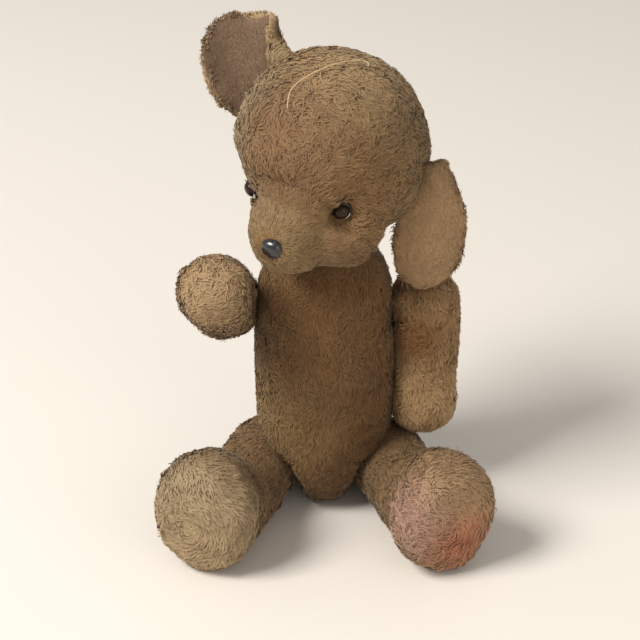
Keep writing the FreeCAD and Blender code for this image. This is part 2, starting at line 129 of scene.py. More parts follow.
class ColourSettings(bpy.types.PropertyGroup):
    coat: FloatVectorProperty(name="Coat", description="Worn golden brown of the pile",
                              default=(0.225, 0.130, 0.060), subtype="COLOR")
    pale: FloatVectorProperty(name="Faded tips", description="Tips bleached by light",
                              default=(0.42, 0.29, 0.155), subtype="COLOR")
    root: FloatVectorProperty(name="Roots", description="Shaded foot of the pile",
                              default=(0.15, 0.083, 0.039), subtype="COLOR")
    lining: FloatVectorProperty(name="Ear lining", description="Short rubbed pile in the ears",
                                default=(0.38, 0.24, 0.125), subtype="COLOR")


# ---- Shader expressions ----
class Value:
    """A shader socket that adds Math nodes when it is used in an expression."""

    def __init__(self, graph, socket):
        self.graph = graph
        self.socket = socket

    def _math(self, operation, first, second):
        return self.graph.node("ShaderNodeMath", {"operation": operation}, {0: first, 1: second})

    def __add__(self, other):
        return self._math("ADD", self, other)

    __radd__ = __add__

    def __sub__(self, other):
        return self._math("SUBTRACT", self, other)

    def __rsub__(self, other):
        return self._math("SUBTRACT", other, self)

    def __mul__(self, other):
        return self._math("MULTIPLY", self, other)

    __rmul__ = __mul__


class Graph:
    """One material's node tree."""

    def __init__(self, name):
        self.material = bpy.data.materials.new(name)
        self.material.use_nodes = True
        self.tree = self.material.node_tree
        self.tree.nodes.clear()

    def node(self, kind, settings=None, inputs=None, output=0):
        made = self.tree.nodes.new(kind)
        for key, value in (settings or {}).items():
            setattr(made, key, value)
        for key, value in (inputs or {}).items():
            if isinstance(value, Value):
                self.tree.links.new(value.socket, made.inputs[key])
            elif made.inputs[key].type == "RGBA":
                made.inputs[key].default_value = (*value[:3], 1)
            else:
                made.inputs[key].default_value = value
        return Value(self, made.outputs[output]) if made.outputs else None

    def place(self):
        return self.node("ShaderNodeTexCoord", output="Object")

    def distance(self, place, centre):
        return self.node("ShaderNodeVectorMath", {"operation": "DISTANCE"},
                         {0: place, 1: tuple(centre)}, output="Value")

    def attribute(self, name):
        return self.node("ShaderNodeAttribute", {"attribute_name": name}, output="Fac")

    def noise(self, scale, detail=2.0, place=None):
        return self.node("ShaderNodeTexNoise", inputs={"Vector": place or self.place(), "Scale": scale,
                                                       "Detail": detail})

    def blend(self, factor, first, second, mode="MIX"):
        settings = {"data_type": "RGBA", "blend_type": mode, "clamp_factor": True}
        return self.node("ShaderNodeMix", settings, {0: factor, 6: first, 7: second}, output=2)

    def steps(self, value, low, high):
        """0 below low, 1 above high, smooth between."""
        return self.node("ShaderNodeMapRange", {"interpolation_type": "SMOOTHSTEP"},
                         {"Value": value, "From Min": low, "From Max": high})

    def patch(self, centre, inner, outer, ragged=0.25):
        """1 within inner of a point and 0 beyond outer, with a ragged border."""
        place = self.place()
        wander = 1 - ragged + 2 * ragged * self.noise(70.0, 3.0, place)
        return 1 - self.steps(self.distance(place, centre) * wander, inner, outer)

    def finish(self, colour, roughness, bump=None, depth=0.0003, **constants):
        inputs = {"Base Color": colour, "Roughness": roughness}
        if bump is not None:
            inputs["Normal"] = self.node("ShaderNodeBump", inputs={"Height": bump, "Distance": depth})
        inputs.update(constants)
        shader = self.node("ShaderNodeBsdfPrincipled", inputs=inputs)
        self.node("ShaderNodeOutputMaterial", inputs={"Surface": shader})
        return self.material


def colours():
    return bpy.context.scene.plush_colours


def darker(colour, share):
    return tuple(part * share for part in colour)


def pile_material(name, base=None, tips=None, patches=()):
    """Pile that is dark at the root, coloured along its length and faded at its tips. Each patch
    is a centre, the radii within which it is full and beyond which it ends, a colour and a
    strength."""
    tones = colours()
    graph = Graph(name)
    tip = graph.attribute("tip")
    tone = graph.attribute("tone")
    base = tuple(base or tones.coat)
    coat = graph.blend(graph.steps(graph.noise(18.0, 3.0), 0.35, 0.65), base, darker(base, 0.78))
    pale = tuple(tips or tones.pale)
    wear = graph.steps(graph.noise(42.0, 3.0), 0.35, 0.7)
    for centre, inner, outer, colour, strength in patches:
        coat = graph.blend(graph.patch(centre, inner, outer) * strength, coat, colour)
    body = graph.blend(0.72 + 0.28 * graph.steps(tip, 0.0, 0.5), tuple(tones.root), coat)
    body = graph.blend(graph.steps(tip, 0.4, 1.0) * (0.25 + 0.55 * wear) * (0.4 + 0.7 * tone), body,
                       graph.blend(0.6, coat, pale))
    shade = graph.blend(tone, (0.80, 0.77, 0.73), (1.0, 1.0, 1.0))
    body = graph.blend(1.0, body, shade, "MULTIPLY")
    return graph.finish(body, 0.82 - 0.12 * tip, **{"Sheen Weight": 0.25, "Sheen Roughness": 0.5,
                                                   "Sheen Tint": (0.9, 0.75, 0.55, 1.0),
                                                   "Specular IOR Level": 0.25})


def backing_material(name, base, patches=()):
    """Woven ground of the plush, seen between the locks, darkened as painted shade."""
    graph = Graph(name)
    # The cloth is darkened to 55 to 80 % of its base colour, and the patch colours to 60 %: painted shade
    # between the locks.
    cloth = graph.blend(graph.noise(60.0, 4.0), darker(base, 0.55), darker(base, 0.80))
    for centre, inner, outer, colour, strength in patches:
        cloth = graph.blend(graph.patch(centre, inner, outer) * strength, cloth, darker(colour, 0.6))
    weave = graph.noise(900.0, 2.0) + 0.8 * graph.noise(220.0, 3.0)
    return graph.finish(cloth, 0.95, weave, 0.0006, **{"Specular IOR Level": 0.1})


def speckled(name, scale, detail, dark, light, roughness, depth):
    """Fibres of two tones, raised by their own pattern."""
    graph = Graph(name)
    fibres = graph.noise(scale, detail)
    return graph.finish(graph.blend(fibres, dark, light), roughness, fibres, depth)


# ---- Shape helpers ----
def new_object(name, data):
    piece = bpy.data.objects.new(name, data)
    bpy.context.scene.collection.objects.link(piece)
    return piece


def from_bmesh(name, shape):
    mesh = bpy.data.meshes.new(name)
    shape.to_mesh(mesh)
    shape.free()
    return new_object(name, mesh)


def paint(piece, material):
    piece.data.materials.clear()
    piece.data.materials.append(material)


def hang(piece, body):
    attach(piece, body)


def facing(direction):
    """The turn that carries +Z to a direction."""
    return direction.to_track_quat("Z", "Y").to_matrix().to_4x4()


def put(shape, place, turn):
    """Carries a finished shape to its place."""
    bmesh.ops.transform(shape, matrix=Matrix.Translation(place) @ turn, verts=shape.verts)


def add_ball(shape, centre, radii, turn=Matrix.Identity(4)):
    bmesh.ops.create_icosphere(shape, subdivisions=4, radius=1.0,
                               matrix=Matrix.Translation(centre) @ turn @ Matrix.Diagonal((*radii, 1)))


def add_limb(shape, start, end, radius_start, radius_end):
    """A tapered bar of stuffing with round ends."""
    along = end - start
    bmesh.ops.create_cone(shape, cap_ends=True, segments=48, radius1=radius_start, radius2=radius_end,
                          depth=along.length,
                          matrix=Matrix.Translation((start + end) / 2) @ facing(along))
    add_ball(shape, start, (radius_start,) * 3)
    add_ball(shape, end, (radius_end,) * 3)


def resurface(piece, voxel, rounds):
    """Joins a piece's overlapping walls into one smooth skin."""
    remesh = piece.modifiers.new("Knit", "REMESH")
    remesh.mode = "VOXEL"
    remesh.voxel_size = voxel
    relax = piece.modifiers.new("Relax", "SMOOTH")
    relax.factor = 0.5
    relax.iterations = rounds
    bpy.context.view_layer.update()
    evaluated = piece.evaluated_get(bpy.context.evaluated_depsgraph_get())
    mesh = bpy.data.meshes.new_from_object(evaluated)
    old = piece.data
    piece.modifiers.clear()
    piece.data = mesh
    mesh.name = piece.name
    bpy.data.meshes.remove(old)
    mesh.shade_smooth()


def knit(name, shape, voxel=2.6 * MM, smooth=14):
    """Joins overlapping stuffed forms into one smooth skin."""
    piece = from_bmesh(name, shape)
    resurface(piece, voxel, smooth)
    return piece


def vectors_of(mesh, field):
    """The places ("co") or normals ("normal") of a mesh's points, one row each."""
    flat = np.empty(len(mesh.vertices) * 3)
    mesh.vertices.foreach_get(field, flat)
    return flat.reshape(-1, 3)


def sculpt(piece, move):
    """Moves every point of a skin by a function of the points and their normals."""
    mesh = piece.data
    moved = move(vectors_of(mesh, "co"), vectors_of(mesh, "normal"))
    mesh.vertices.foreach_set("co", moved.ravel())
    mesh.update()


def drift(points, scale, seed, waves=7):
    """A smooth wandering vector field, about -1 to 1, of the given wavelength."""
    rng = np.random.default_rng(seed)
    total = np.zeros_like(points)
    for _ in range(waves):
        wave = rng.normal(size=3) * (2 * math.pi / scale) * rng.uniform(0.5, 1.3)
        total += np.sin(points @ wave + rng.uniform(0, 2 * math.pi))[:, None] * rng.normal(size=3)
    return total / math.sqrt(waves)


def cover_stuffing(piece, *nodes, over=1.7 * MM):
    """Holds a skin clear of the stuffing that it is drawn over."""
    for node in nodes:
        filling = frame["nodes"][node].data
        tree = BVHTree.FromPolygons([vert.co for vert in filling.vertices],
                                    [face.vertices for face in filling.polygons])
        for vert in piece.data.vertices:
            near, normal, _face, _gap = tree.find_nearest(vert.co)
            height = (vert.co - near).dot(normal)
            if height < over:
                vert.co += normal * (over - height)
    piece.data.update()


def rumple(piece, scale=26 * MM, depth=0.8 * MM, seed=3):
    """The small hollows that firm straw stuffing leaves."""
    sculpt(piece, lambda points, normals: points + normals * drift(points, scale, seed)[:, :1] * depth)


def flatten_under(piece, height):
    """A soft flat where the piece rests."""
    lowest = np.array([-np.inf, -np.inf, height])
    sculpt(piece, lambda points, _normals: np.maximum(points, lowest))


def pull(piece, centre, radius, depth, direction=None):
    """Draws the skin in round a point, against a direction or its own normals."""
    centre = np.array(centre)

    def draw(points, normals):
        near = np.exp(-(np.linalg.norm(points - centre, axis=1) / radius) ** 2)
        outward = normals if direction is None else np.array(direction)[None, :]
        return points - outward * (near * depth)[:, None]
    sculpt(piece, draw)


# ---- Pile ----
LOCK_STATIONS = ((0.0, 0.8, 0.00), (0.36, 1.0, 0.13), (0.72, 0.75, 0.16))
LOCK_TIP = (1.0, 0.10)
SOFTNESS = 0.38         # how far a lock's own facing shows in its shading
SINK = 0.1 * MM         # how far a lock's root lies in the skin


def lock_shape():
    """One matted lock: its points as (along, across, lift) and its faces."""
    shape = bmesh.new()
    rows = [[shape.verts.new((along, side * width / 2, lift)) for side in (-1, 1)]
            for along, width, lift in LOCK_STATIONS]
    tip = shape.verts.new((LOCK_TIP[0], 0, LOCK_TIP[1]))
    for low, high in zip(rows, rows[1:]):
        shape.faces.new((low[0], high[0], high[1], low[1]))
    shape.faces.new((rows[-1][0], tip, rows[-1][1]))
    shape.verts.index_update()
    points = np.array([vert.co[:] for vert in shape.verts])
    faces = [[vert.index for vert in face.verts] for face in shape.faces]
    shape.free()
    return points, faces


def scatter(mesh, count, rng):
    """Random places on a mesh, even by area, with their smooth normals."""
    mesh.calc_loop_triangles()
    corners = np.empty(len(mesh.loop_triangles) * 3, dtype=np.int64)
    mesh.loop_triangles.foreach_get("vertices", corners)
    corners = corners.reshape(-1, 3)
    points = vectors_of(mesh, "co")
    normals = vectors_of(mesh, "normal")
    a, b, c = (points[corners[:, k]] for k in range(3))
    area = np.linalg.norm(np.cross(b - a, c - a), axis=1)
    picked = rng.choice(len(corners), size=count, p=area / area.sum())
    u, v = rng.random(count), rng.random(count)
    flip = u + v > 1
    u[flip], v[flip] = 1 - u[flip], 1 - v[flip]
    weights = np.stack([1 - u - v, u, v], 1)
    place = np.einsum("nk,nkj->nj", weights, points[corners[picked]])
    normal = np.einsum("nk,nkj->nj", weights, normals[corners[picked]])
    normal /= np.linalg.norm(normal, axis=1)[:, None]
    return place, normal


def unit(vectors):
    return vectors / np.maximum(np.linalg.norm(vectors, axis=1), 1e-9)[:, None]


def one_way(direction):
    """A nap that lies the same way all over a piece."""
    return lambda points: np.tile(np.array(direction), (len(points), 1))


def lay_pile(name, skin, lie, body, material, keep=None, seed=0, length=1.0, rows=1.0, width=1.0,
             lift=1.0):
    """Covers a skin with matted locks and hangs them on a body. lie gives the nap's direction at
    each point, keep the share of locks that stay, and the rest are multiples of the settings."""
    pile = bpy.context.scene.plush_pile
    rng = np.random.default_rng(pile.seed + seed)
    area = sum(face.area for face in skin.data.polygons)
    count = int(area * 1e4 * pile.rows * rows)
    place, normal = scatter(skin.data, count, rng)
    share = np.ones(len(place))
    if keep is not None:
        share = keep(place)
        chosen = rng.random(len(place)) < share
        place, normal, share = place[chosen], normal[chosen], share[chosen]
    count = len(place)

    # tufts: neighbours lean the same way
    warped = place + drift(place, 4 * pile.tuft, seed + 5) * pile.tuft * 0.6
    cell = np.floor(warped / pile.tuft).astype(np.int64)
    key = (cell[:, 0] * 73856093) ^ (cell[:, 1] * 19349663) ^ (cell[:, 2] * 83492791)
    lean = np.stack([np.sin(key * 0.7311 + k * 2.1) for k in range(3)], 1)
    flow = lie(place) + pile.swirl * (0.75 * drift(place, 38 * MM, seed + 1) + 0.55 * lean)
    flow += rng.normal(size=(count, 3)) * 0.28
    flow = unit(flow - normal * np.einsum("ij,ij->i", flow, normal)[:, None])
    across = np.cross(normal, flow)

    points, faces = lock_shape()
    tuft_tone = (np.sin(key * 1.933) * 0.5 + 0.5)
    long = pile.length * length * rng.uniform(0.55, 1.15, count) * (0.5 + 0.5 * share)
    wide = pile.width * width * rng.uniform(0.6, 1.3, count)
    rise = lift * rng.uniform(0.5, 1.4, count) * (0.7 + 0.6 * tuft_tone)
    bend = rng.normal(size=count) * 0.28
    roll = rng.normal(size=count) * 0.35
    along = points[None, :, 0] * long[:, None]
    side = points[None, :, 1] * wide[:, None] + (np.sin(points[None, :, 0] * 2.6) * bend[:, None]
                                                 * long[:, None])
    high = points[None, :, 2] * (long * rise)[:, None] - SINK
    high = high + np.sin(roll)[:, None] * points[None, :, 1] * wide[:, None]
    verts = (place[:, None, :] + flow[:, None, :] * along[..., None] + across[:, None, :] * side[..., None]
             + normal[:, None, :] * high[..., None])

    mesh = bpy.data.meshes.new(name)
    flat_faces = np.concatenate(faces)
    all_corners = (np.arange(count)[:, None] * len(points) + flat_faces[None, :]).ravel()
    mesh.vertices.add(count * len(points))
    mesh.vertices.foreach_set("co", verts.reshape(-1))
    mesh.loops.add(len(all_corners))
    mesh.loops.foreach_set("vertex_index", all_corners.astype(np.int32))
    totals = np.tile([len(face) for face in faces], count)
    mesh.polygons.add(len(totals))
    mesh.polygons.foreach_set("loop_start", (np.cumsum(totals) - totals).astype(np.int32))
    mesh.polygons.foreach_set("use_smooth", np.ones(len(totals), dtype=bool))
    mesh.update(calc_edges=True)
    own = vectors_of(mesh, "normal").reshape(count, -1, 3)
    mesh.normals_split_custom_set_from_vertices(unit((normal[:, None, :] + SOFTNESS * own).reshape(-1, 3)))

    tone = np.clip(0.5 * tuft_tone + 0.5 * rng.random(count), 0, 1)
    for field, values in (("tip", np.tile(points[:, 0], count)), ("tone", np.repeat(tone, len(points)))):
        layer = mesh.attributes.new(field, "FLOAT", "POINT")
        layer.data.foreach_set("value", values.astype(np.float32))
    grid = math.ceil(math.sqrt(count))
    cells = np.stack([np.arange(count) % grid, np.arange(count) // grid], 1)
    inside = np.stack([0.15 + 0.7 * points[:, 0], 0.5 + 0.62 * points[:, 1]], 1)
    sheet = ((cells[:, None, :] + inside[None, flat_faces, :]) / grid).reshape(-1, 2)
    layer = mesh.uv_layers.new(name="OFBake")
    layer.data.foreach_set("uv", sheet.ravel().astype(np.float32))
    piece = new_object(name, mesh)
    paint(piece, material)
    hang(piece, body)


def stuffed(skin, body, nodes, base=None, patches=()):
    """Hangs a skin on its body in place of the CAD's panels, with the cloth seen under the pile."""
    paint(skin, backing_material(body + "_backing", base or colours().coat, patches))
    hang(skin, body)
    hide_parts(*nodes)


# ---- Torso ----
THIGH_ROOM = 30 * MM    # radius kept free of the torso round each thigh's axis
CHEST_TUCKS = (((-2, -56, 96), 2.2), ((14, -55, 104), 1.6), ((30, -48, 150), 1.8))


def leg_gap(points, side, radius):
    """Signed distance from a thigh's surface, and the nearest points of its axis."""
    hip, ahead = np.array(HIPS[side]), np.array(leg_ahead(side))
    reach = np.clip((points - hip) @ ahead, 0, None)
    axis = hip + reach[:, None] * ahead
    away = points - axis
    return np.linalg.norm(away, axis=1) - radius, axis, unit(away)


def torso_skin():
    shape = bmesh.new()
    top, wide = TORSO_TOP, TORSO_RADIUS - 1.2 * MM
    neck = joint_place("neck_turn")[0]
    add_ball(shape, Vector((0, 0, 0.44 * top)), (wide, 0.97 * wide, 0.43 * top))
    add_ball(shape, Vector((0, -1 * MM, 0.56 * top)), (1.0 * wide, 0.95 * wide, 0.38 * top))
    add_ball(shape, Vector((0, 0, 0.70 * top)), (0.97 * wide, 0.9 * wide, 0.26 * top))
    add_limb(shape, Vector((neck.x, neck.y, 0.8 * top)), Vector((neck.x, neck.y, 0.93 * top)),
             0.62 * wide, 0.48 * wide)
    skin = knit("torso_cover", shape, smooth=22)

    def make_room(points, _normals):
        points = points.copy()
        for side in SIDES:
            gap, axis, away = leg_gap(points, side, THIGH_ROOM)
            inside = gap < 0
            points[inside] = axis[inside] + away[inside] * THIGH_ROOM
        return points
    sculpt(skin, make_room)
    rumple(skin, 34 * MM, 1.1 * MM, 21)
    cover_stuffing(skin, "torso_stuffing")

    def tuck(points, _normals):
        points = points.copy()
        ahead = np.clip(-points[:, 1] / (0.8 * TORSO_RADIUS), 0, 1)
        low = 11 * MM * ahead ** 2
        points[:, 2] = np.where(points[:, 2] < low, low + 0.1 * (points[:, 2] - low), points[:, 2])
        return points
    sculpt(skin, tuck)
    for spot, depth in CHEST_TUCKS:
        pull(skin, Vector(spot) * MM, 10 * MM, depth * MM)
    flatten_under(skin, 0.3 * MM)
    return skin


class PLUSH_OT_torso(bpy.types.Operator):
    """Torso cover: an egg of four sewn panels with its pile combed down"""
    bl_idname = "plush.torso"
    bl_label = "Torso"

    def execute(self, context):
        skin = torso_skin()
        # Painted light and shade on the torso: the first patch lightens the flank towards the lamp (painted
        # light), the chest patch is the head's painted shadow, and the last two darken the flank away from
        # the lamp and the bottom between the legs (painted shade).
        chest = (0.01, -TORSO_RADIUS, 0.80 * TORSO_TOP)
        patches = [((-0.045, -0.03, 0.085), 0.015, 0.07, (0.22, 0.135, 0.055), 0.8),
                   (chest, 0.02, 0.085, (0.155, 0.075, 0.026), 0.8),
                   ((0.05, -0.02, 0.10), 0.015, 0.06, (0.155, 0.077, 0.027), 0.7),
                   ((0.0, -0.03, 0.01), 0.02, 0.06, (0.13, 0.066, 0.024), 0.8)]
        stuffed(skin, "torso", ["torso_front_left", "torso_front_right", "torso_back_left",
                                        "torso_back_right", "torso_stuffing"])
        # The torso pile's colours are darker than the coat on the head and legs: painted shade under the
        # head.
        material = pile_material("torso_pile", (0.17, 0.09, 0.034), (0.30, 0.18, 0.08), patches)

        def bare(points):
            share = np.ones(len(points))
            for side in SIDES:
                gap, _axis, _away = leg_gap(points, side, THIGH_ROOM - 1 * MM)
                share *= np.clip(gap / (3 * MM), 0.05, 1)
            share[points[:, 2] < 2 * MM] = 0
            return share
        for part, sign in (("front", -1), ("back", 1)):
            def half(points, sign=sign):
                return bare(points) * (points[:, 1] * sign >= 0)
            lay_pile("torso_pile_" + part, skin, one_way((0.0, 0.0, -1.0)), "torso", material,
                     half, 31 + sign)
        return {"FINISHED"}


# ---- Head ----
MUZZLE_SEAM_AT = 62 * MM            # from the head's centre towards the nose
EYE_RIM_RADIUS = 5.75 * MM
EYE_RIM_TUBE = 0.35 * MM
EYE_RIM_STEPS = 64
RIM_THICKEST_AT = math.radians(-42)     # where the rim is thickest, round the eye
TATTERS = ((92, 6.4), (126, 8.0), (156, 6.0), (192, 7.2), (250, 4.0), (36, 4.0))
NOSE_HALF = Vector((8.6, 10.2, 7.2)) * MM
NOSTRIL = Vector((3.6, -3.4, 6.0)) * MM


def in_head(x, y, z):
    """A point given in millimetres in the head's own frame."""
    return HEAD @ Vector((x * MM, y * MM, z * MM))


def muzzle_point(reach, raise_by=0.0):
    """A point along the muzzle's axis from the head's centre, raised across it."""
    lift = TOWARD_NOSE.cross(HEAD_LEFT)
    if lift.z < 0:
        lift = -lift
    return HEAD_CENTRE + TOWARD_NOSE * reach + lift * raise_by


def eye_look(side):
    return (EYES[side] - HEAD_CENTRE).normalized()


def head_skin():
    shape = bmesh.new()
    radius = HEAD_RADIUS
    add_ball(shape, in_head(0, 2, 0), (0.995 * radius, 0.99 * radius, 1.0 * radius), HEAD_TURN)
    add_ball(shape, in_head(0, -3, 5), (0.97 * radius, 0.98 * radius, 0.96 * radius), HEAD_TURN)
    for across, size in ((30, 31 * MM), (-19, 28 * MM)):
        add_ball(shape, in_head(across, -35, -41), (size, size, size), HEAD_TURN)
    add_limb(shape, muzzle_point(46 * MM, -12 * MM), muzzle_point(69 * MM, -12 * MM), 34.5 * MM, 32.5 * MM)
    add_limb(shape, muzzle_point(69 * MM, -12 * MM), muzzle_point(81 * MM, -11 * MM), 31 * MM, 24 * MM)
    add_limb(shape, in_head(27, -37, -42), muzzle_point(64 * MM, -17 * MM), 29 * MM, 29 * MM)
    add_ball(shape, in_head(12, -56, -12), (30 * MM, 20 * MM, 26 * MM), HEAD_TURN)
    skin = knit("head_cover", shape, voxel=2.4 * MM, smooth=9)
    for side in SIDES:
        look = eye_look(side)
        socket = EYES[side] - look * 2 * MM

        def settle(points, _normals, socket=np.array(socket), look=np.array(look)):
            gap = np.linalg.norm(points - socket - ((points - socket) @ look)[:, None] * look, axis=1)
            deep = (points - socket) @ look
            near = np.exp(-(gap / (9 * MM)) ** 2) * (deep > -30 * MM)
            return points - look[None, :] * (near * np.clip(deep + 1.0 * MM, 0, None))[:, None]
        sculpt(skin, settle)
    for side, depth in ((1, 3 * MM), (-1, 6 * MM)):
        temple = HEAD.to_3x3() @ Vector((side * 55, -45, -20)).normalized()
        pull(skin, HEAD_CENTRE + temple * HEAD_RADIUS, 30 * MM, depth, temple)
    rumple(skin, 40 * MM, 1.2 * MM, 8)
    return skin


def muzzle_seam_height(points):
    """Signed distance across the seam where the muzzle is set into the face."""
    toward = np.array((muzzle_point(90 * MM, -10 * MM) - HEAD_CENTRE).normalized())
    return (points - np.array(HEAD_CENTRE)) @ toward - MUZZLE_SEAM_AT


def head_lie(points):
    """Nap runs back from the nose over the crown and down the cheeks."""
    away = unit(points - np.array(NOSE))
    local = (points - np.array(HEAD_CENTRE)) @ np.array(HEAD.to_3x3())
    crown = np.clip(local[:, 2] / HEAD_RADIUS, 0, 1)[:, None]
    return away * (1 - 0.55 * crown) + np.array(HEAD_LEFT) * crown + np.array([0, 0, -0.25])


def face_share(points):
    """Thins the pile round the eyes, the nose and the muzzle's seam."""
    share = np.ones(len(points))
    for side in SIDES:
        gap = np.linalg.norm(points - np.array(EYES[side]), axis=1)
        share *= np.clip((gap - 6.8 * MM) / (3 * MM), 0, 1)
    gap = np.linalg.norm(points - np.array(NOSE), axis=1)
    share *= np.clip((gap - 8.5 * MM) / (5 * MM), 0, 1)
    seam = np.abs(muzzle_seam_height(points))
    share *= np.clip(0.25 + seam / (3 * MM), 0, 1)
    return share


class PLUSH_OT_head(bpy.types.Operator):
    """Head cover: domed crown, cheeks and a short set-in muzzle with its pile"""
    bl_idname = "plush.head"
    bl_label = "Head"

    def execute(self, context):
        skin = head_skin()

        def seam(points, normals):
            groove = np.exp(-(muzzle_seam_height(points) / (1.8 * MM)) ** 2)
            return points - normals * (groove * 2.4 * MM)[:, None]
        sculpt(skin, seam)
        # The first three patches are painted light and shade: the pale crown is a painted highlight, the
        # greyish pale patch on the dog's right side is painted light from the lamp, and the darker patch on
        # its left side is painted shade.
        patches = [(in_head(20, 10, 70), 0.02, 0.085, (0.36, 0.24, 0.125), 0.8),
                   (in_head(-60, -30, 25), 0.015, 0.07, (0.27, 0.215, 0.13), 0.85),
                   (in_head(72, 0, 12), 0.02, 0.06, (0.20, 0.125, 0.058), 0.8),
                   (in_head(55, -45, -10), 0.01, 0.055, (0.25, 0.135, 0.055), 0.7),
                   (in_head(-8, -62, 30), 0.01, 0.058, (0.20, 0.105, 0.050), 0.8),
                   (muzzle_point(82 * MM, -14 * MM), 0.018, 0.048, (0.25, 0.178, 0.085), 0.75)]
        stuffed(skin, "head", ["head_gusset", "head_side_left", "head_side_right", "muzzle_top",
                                       "muzzle_chin", "head_stuffing", "muzzle_stuffing"])
        material = pile_material("head_pile", patches=patches)
        def muzzle(points):
            return face_share(points) * (muzzle_seam_height(points) >= 0)
        for part, sign in SIDES.items():
            def half(points, sign=sign):
                side = ((points - np.array(HEAD_CENTRE)) @ np.array(HEAD_LEFT)) * sign >= 0
                return face_share(points) * side * (muzzle_seam_height(points) < 0)
            lay_pile("head_pile_" + part, skin, head_lie, "head", material, half, 41 + sign)
        lay_pile("muzzle_pile", skin, head_lie, "head", material, muzzle, 44, length=0.6,
                 width=0.75, rows=1.5, lift=0.8)
        return {"FINISHED"}


class PLUSH_OT_face(bpy.types.Operator):
    """Moulded eyes with their rims and felt, and the moulded nose"""
    bl_idname = "plush.face"
    bl_label = "Eyes and nose"

    def execute(self, context):
        for side in SIDES:
            self.eye(side)
        self.nose()
        return {"FINISHED"}

    def eye(self, side):
        graph = Graph("eye_%s_glass" % side)
        look = eye_look(side)
        gap = graph.distance(graph.place(), EYES[side] + look * 2 * MM)
        iris = graph.blend(graph.steps(gap, 2.6 * MM, 3.6 * MM), (0.004, 0.003, 0.003),
                           (0.022, 0.010, 0.005))
        paint(frame["nodes"]["eye_" + side],
              graph.finish(iris, 0.16 + 0.08 * graph.noise(300.0), **{"Specular IOR Level": 0.22}))

        rim = bmesh.new()
        ring = Matrix.Translation((EYE_RIM_RADIUS, 0, 0)) @ Matrix.Rotation(math.pi / 2, 4, "X")
        bmesh.ops.create_circle(rim, segments=10, radius=EYE_RIM_TUBE, matrix=ring)
        bmesh.ops.spin(rim, geom=rim.verts[:] + rim.edges[:], axis=(0, 0, 1), cent=(0, 0, 0),
                       steps=EYE_RIM_STEPS, angle=2 * math.pi, use_merge=True)
        for vert in rim.verts:
            angle = math.atan2(vert.co.y, vert.co.x)
            core = Vector((math.cos(angle), math.sin(angle), 0)) * EYE_RIM_RADIUS
            swell = 1 + 1.9 * max(0.0, math.cos(angle - RIM_THICKEST_AT)) ** 3
            vert.co = core + (vert.co - core) * swell
        bmesh.ops.recalc_face_normals(rim, faces=rim.faces)
        centre = EYES[side] + look * 2.3 * MM
        put(rim, centre, facing(look))
        piece = from_bmesh("eye_rim_" + side, rim)
        piece.data.shade_smooth()
        self.tatters(side, look)
        graph = Graph("eye_rim_%s_paint" % side)
        # The rim is dark, with a pale crescent where it is thickest.
        crescent_centre = centre + facing(look).to_3x3() @ Vector((4.3, -3.9, 0.5)) * MM
        rim_tone = graph.blend(graph.patch(crescent_centre, 3.2 * MM, 4.4 * MM), (0.012, 0.009, 0.007), (0.72, 0.69, 0.63))
        paint(piece, graph.finish(rim_tone, 0.3))
        hang(piece, "head")

    def tatters(self, side, look):
        """Torn points of the felt washer that stick out from behind the eye."""
        shape = bmesh.new()
        place = Matrix.Translation((5.4 * MM, 0, 0)) @ Matrix.Rotation(0.3, 4, "X")
        flat = Matrix.Rotation(math.radians(80), 4, "Y") @ Matrix.Diagonal((1.0, 0.28, 1.0, 1))
        for angle, reach in TATTERS:
            spin = Matrix.Rotation(math.radians(angle), 4, "Z")
            bmesh.ops.create_cone(shape, cap_ends=True, segments=10, radius1=1.7 * MM, radius2=0.15 * MM,
                                  depth=reach * MM, matrix=spin @ place @ flat)
        put(shape, EYES[side] + look * 1.9 * MM, facing(look))
        piece = from_bmesh("eye_tatters_" + side, shape)
        paint(piece, speckled("eye_tatters_%s_felt" % side, 700.0, 4.0, (0.006, 0.005, 0.004),
                              (0.03, 0.024, 0.02), 0.95, 0.0003))
        hang(piece, "head")

    def nose(self):
        shape = bmesh.new()
        bmesh.ops.create_uvsphere(shape, u_segments=48, v_segments=32, radius=1.0)
        for vert in shape.verts:
            x, y, z = vert.co
            wedge = 1.0 + 0.16 * y
            vert.co = Vector((NOSE_HALF.x * math.copysign(abs(x) ** 0.88, x) * wedge,
                              NOSE_HALF.y * math.copysign(abs(y) ** 0.92, y),
                              NOSE_HALF.z * math.copysign(abs(z) ** 0.9, z)))
        for side in SIDES.values():
            hollow = Vector((NOSTRIL.x * side, NOSTRIL.y, NOSTRIL.z))
            for vert in shape.verts:
                near = math.exp(-((vert.co - hollow).length / (2.1 * MM)) ** 2)
                vert.co.z -= near * 1.5 * MM
        place = NOSE + TOWARD_NOSE * 0.5 * MM + HEAD.to_3x3() @ Vector((2.5, 0, -1.5)) * MM
        put(shape, place, facing(TOWARD_NOSE))
        piece = from_bmesh("nose_button", shape)
        piece.data.shade_smooth()
        graph = Graph("nose_moulding")
        scuffs = graph.noise(260.0, 5.0)
        tint = graph.blend(graph.steps(scuffs, 0.5, 0.75), (0.008, 0.008, 0.009), (0.03, 0.03, 0.031))
        paint(piece, graph.finish(tint, 0.22 + 0.3 * graph.steps(scuffs, 0.45, 0.75), scuffs, 0.0001,
                                  **{"Coat Weight": 0.5, "Coat Roughness": 0.15}))
        hang(piece, "head")
        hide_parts("nose")


# ---- Arms ----
ARM_RADIUS = 26 * MM
ELBOW_AT = 48                        # mm from the shoulder, along the arm
PAW_AT = 88
PAW_OUT = {"left": -1 * MM, "right": 3.5 * MM}


